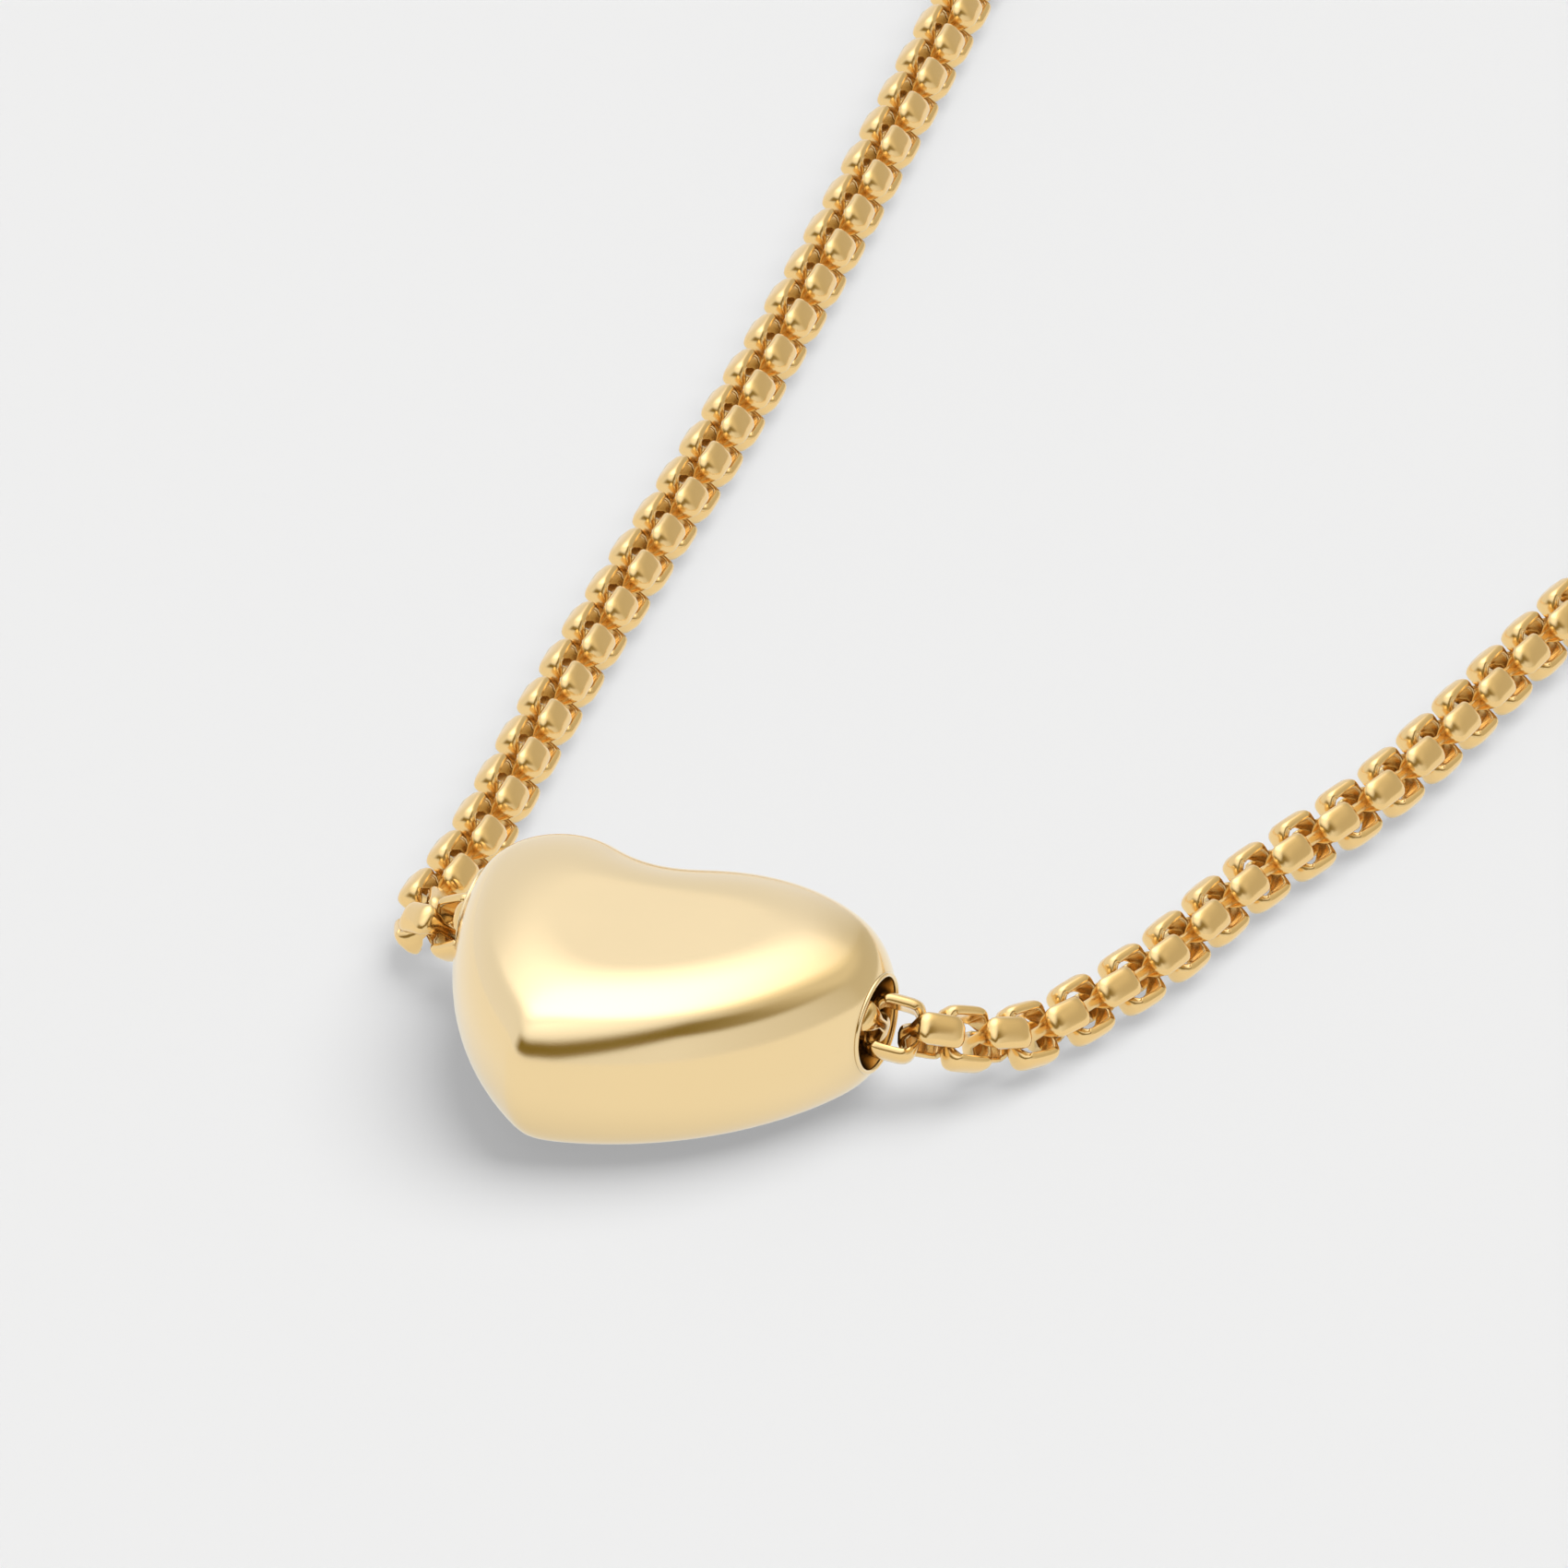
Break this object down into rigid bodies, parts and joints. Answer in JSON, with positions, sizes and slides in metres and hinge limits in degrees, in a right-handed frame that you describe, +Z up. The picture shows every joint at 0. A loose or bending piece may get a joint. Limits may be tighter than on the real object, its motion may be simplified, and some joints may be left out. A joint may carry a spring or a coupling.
{
  "type": "heart pendant",
  "caption": "Puffed heart bead threaded on a round box chain that is closed into a loop by a plain oval clasp, lying on its back.",
  "frame": {"origin": "on the surface it lies on, under the middle of the heart, on the heart's flat back", "axes": "+X along the bore to the heart's right lobe, +Y from the heart's point over its cleft to the clasp, +Z up out of the heart's front"},
  "size_m": [0.0669, 0.1855, 0.0079],
  "materials": {
    "heart": "mirror polish",
    "chain": "polished",
    "clasp": "polished"
  },
  "bodies": {
    "root": {"heart": "heart", "chain_left": "chain", "chain_right": "chain", "clasp": "clasp"}
  },
  "joints": []
}
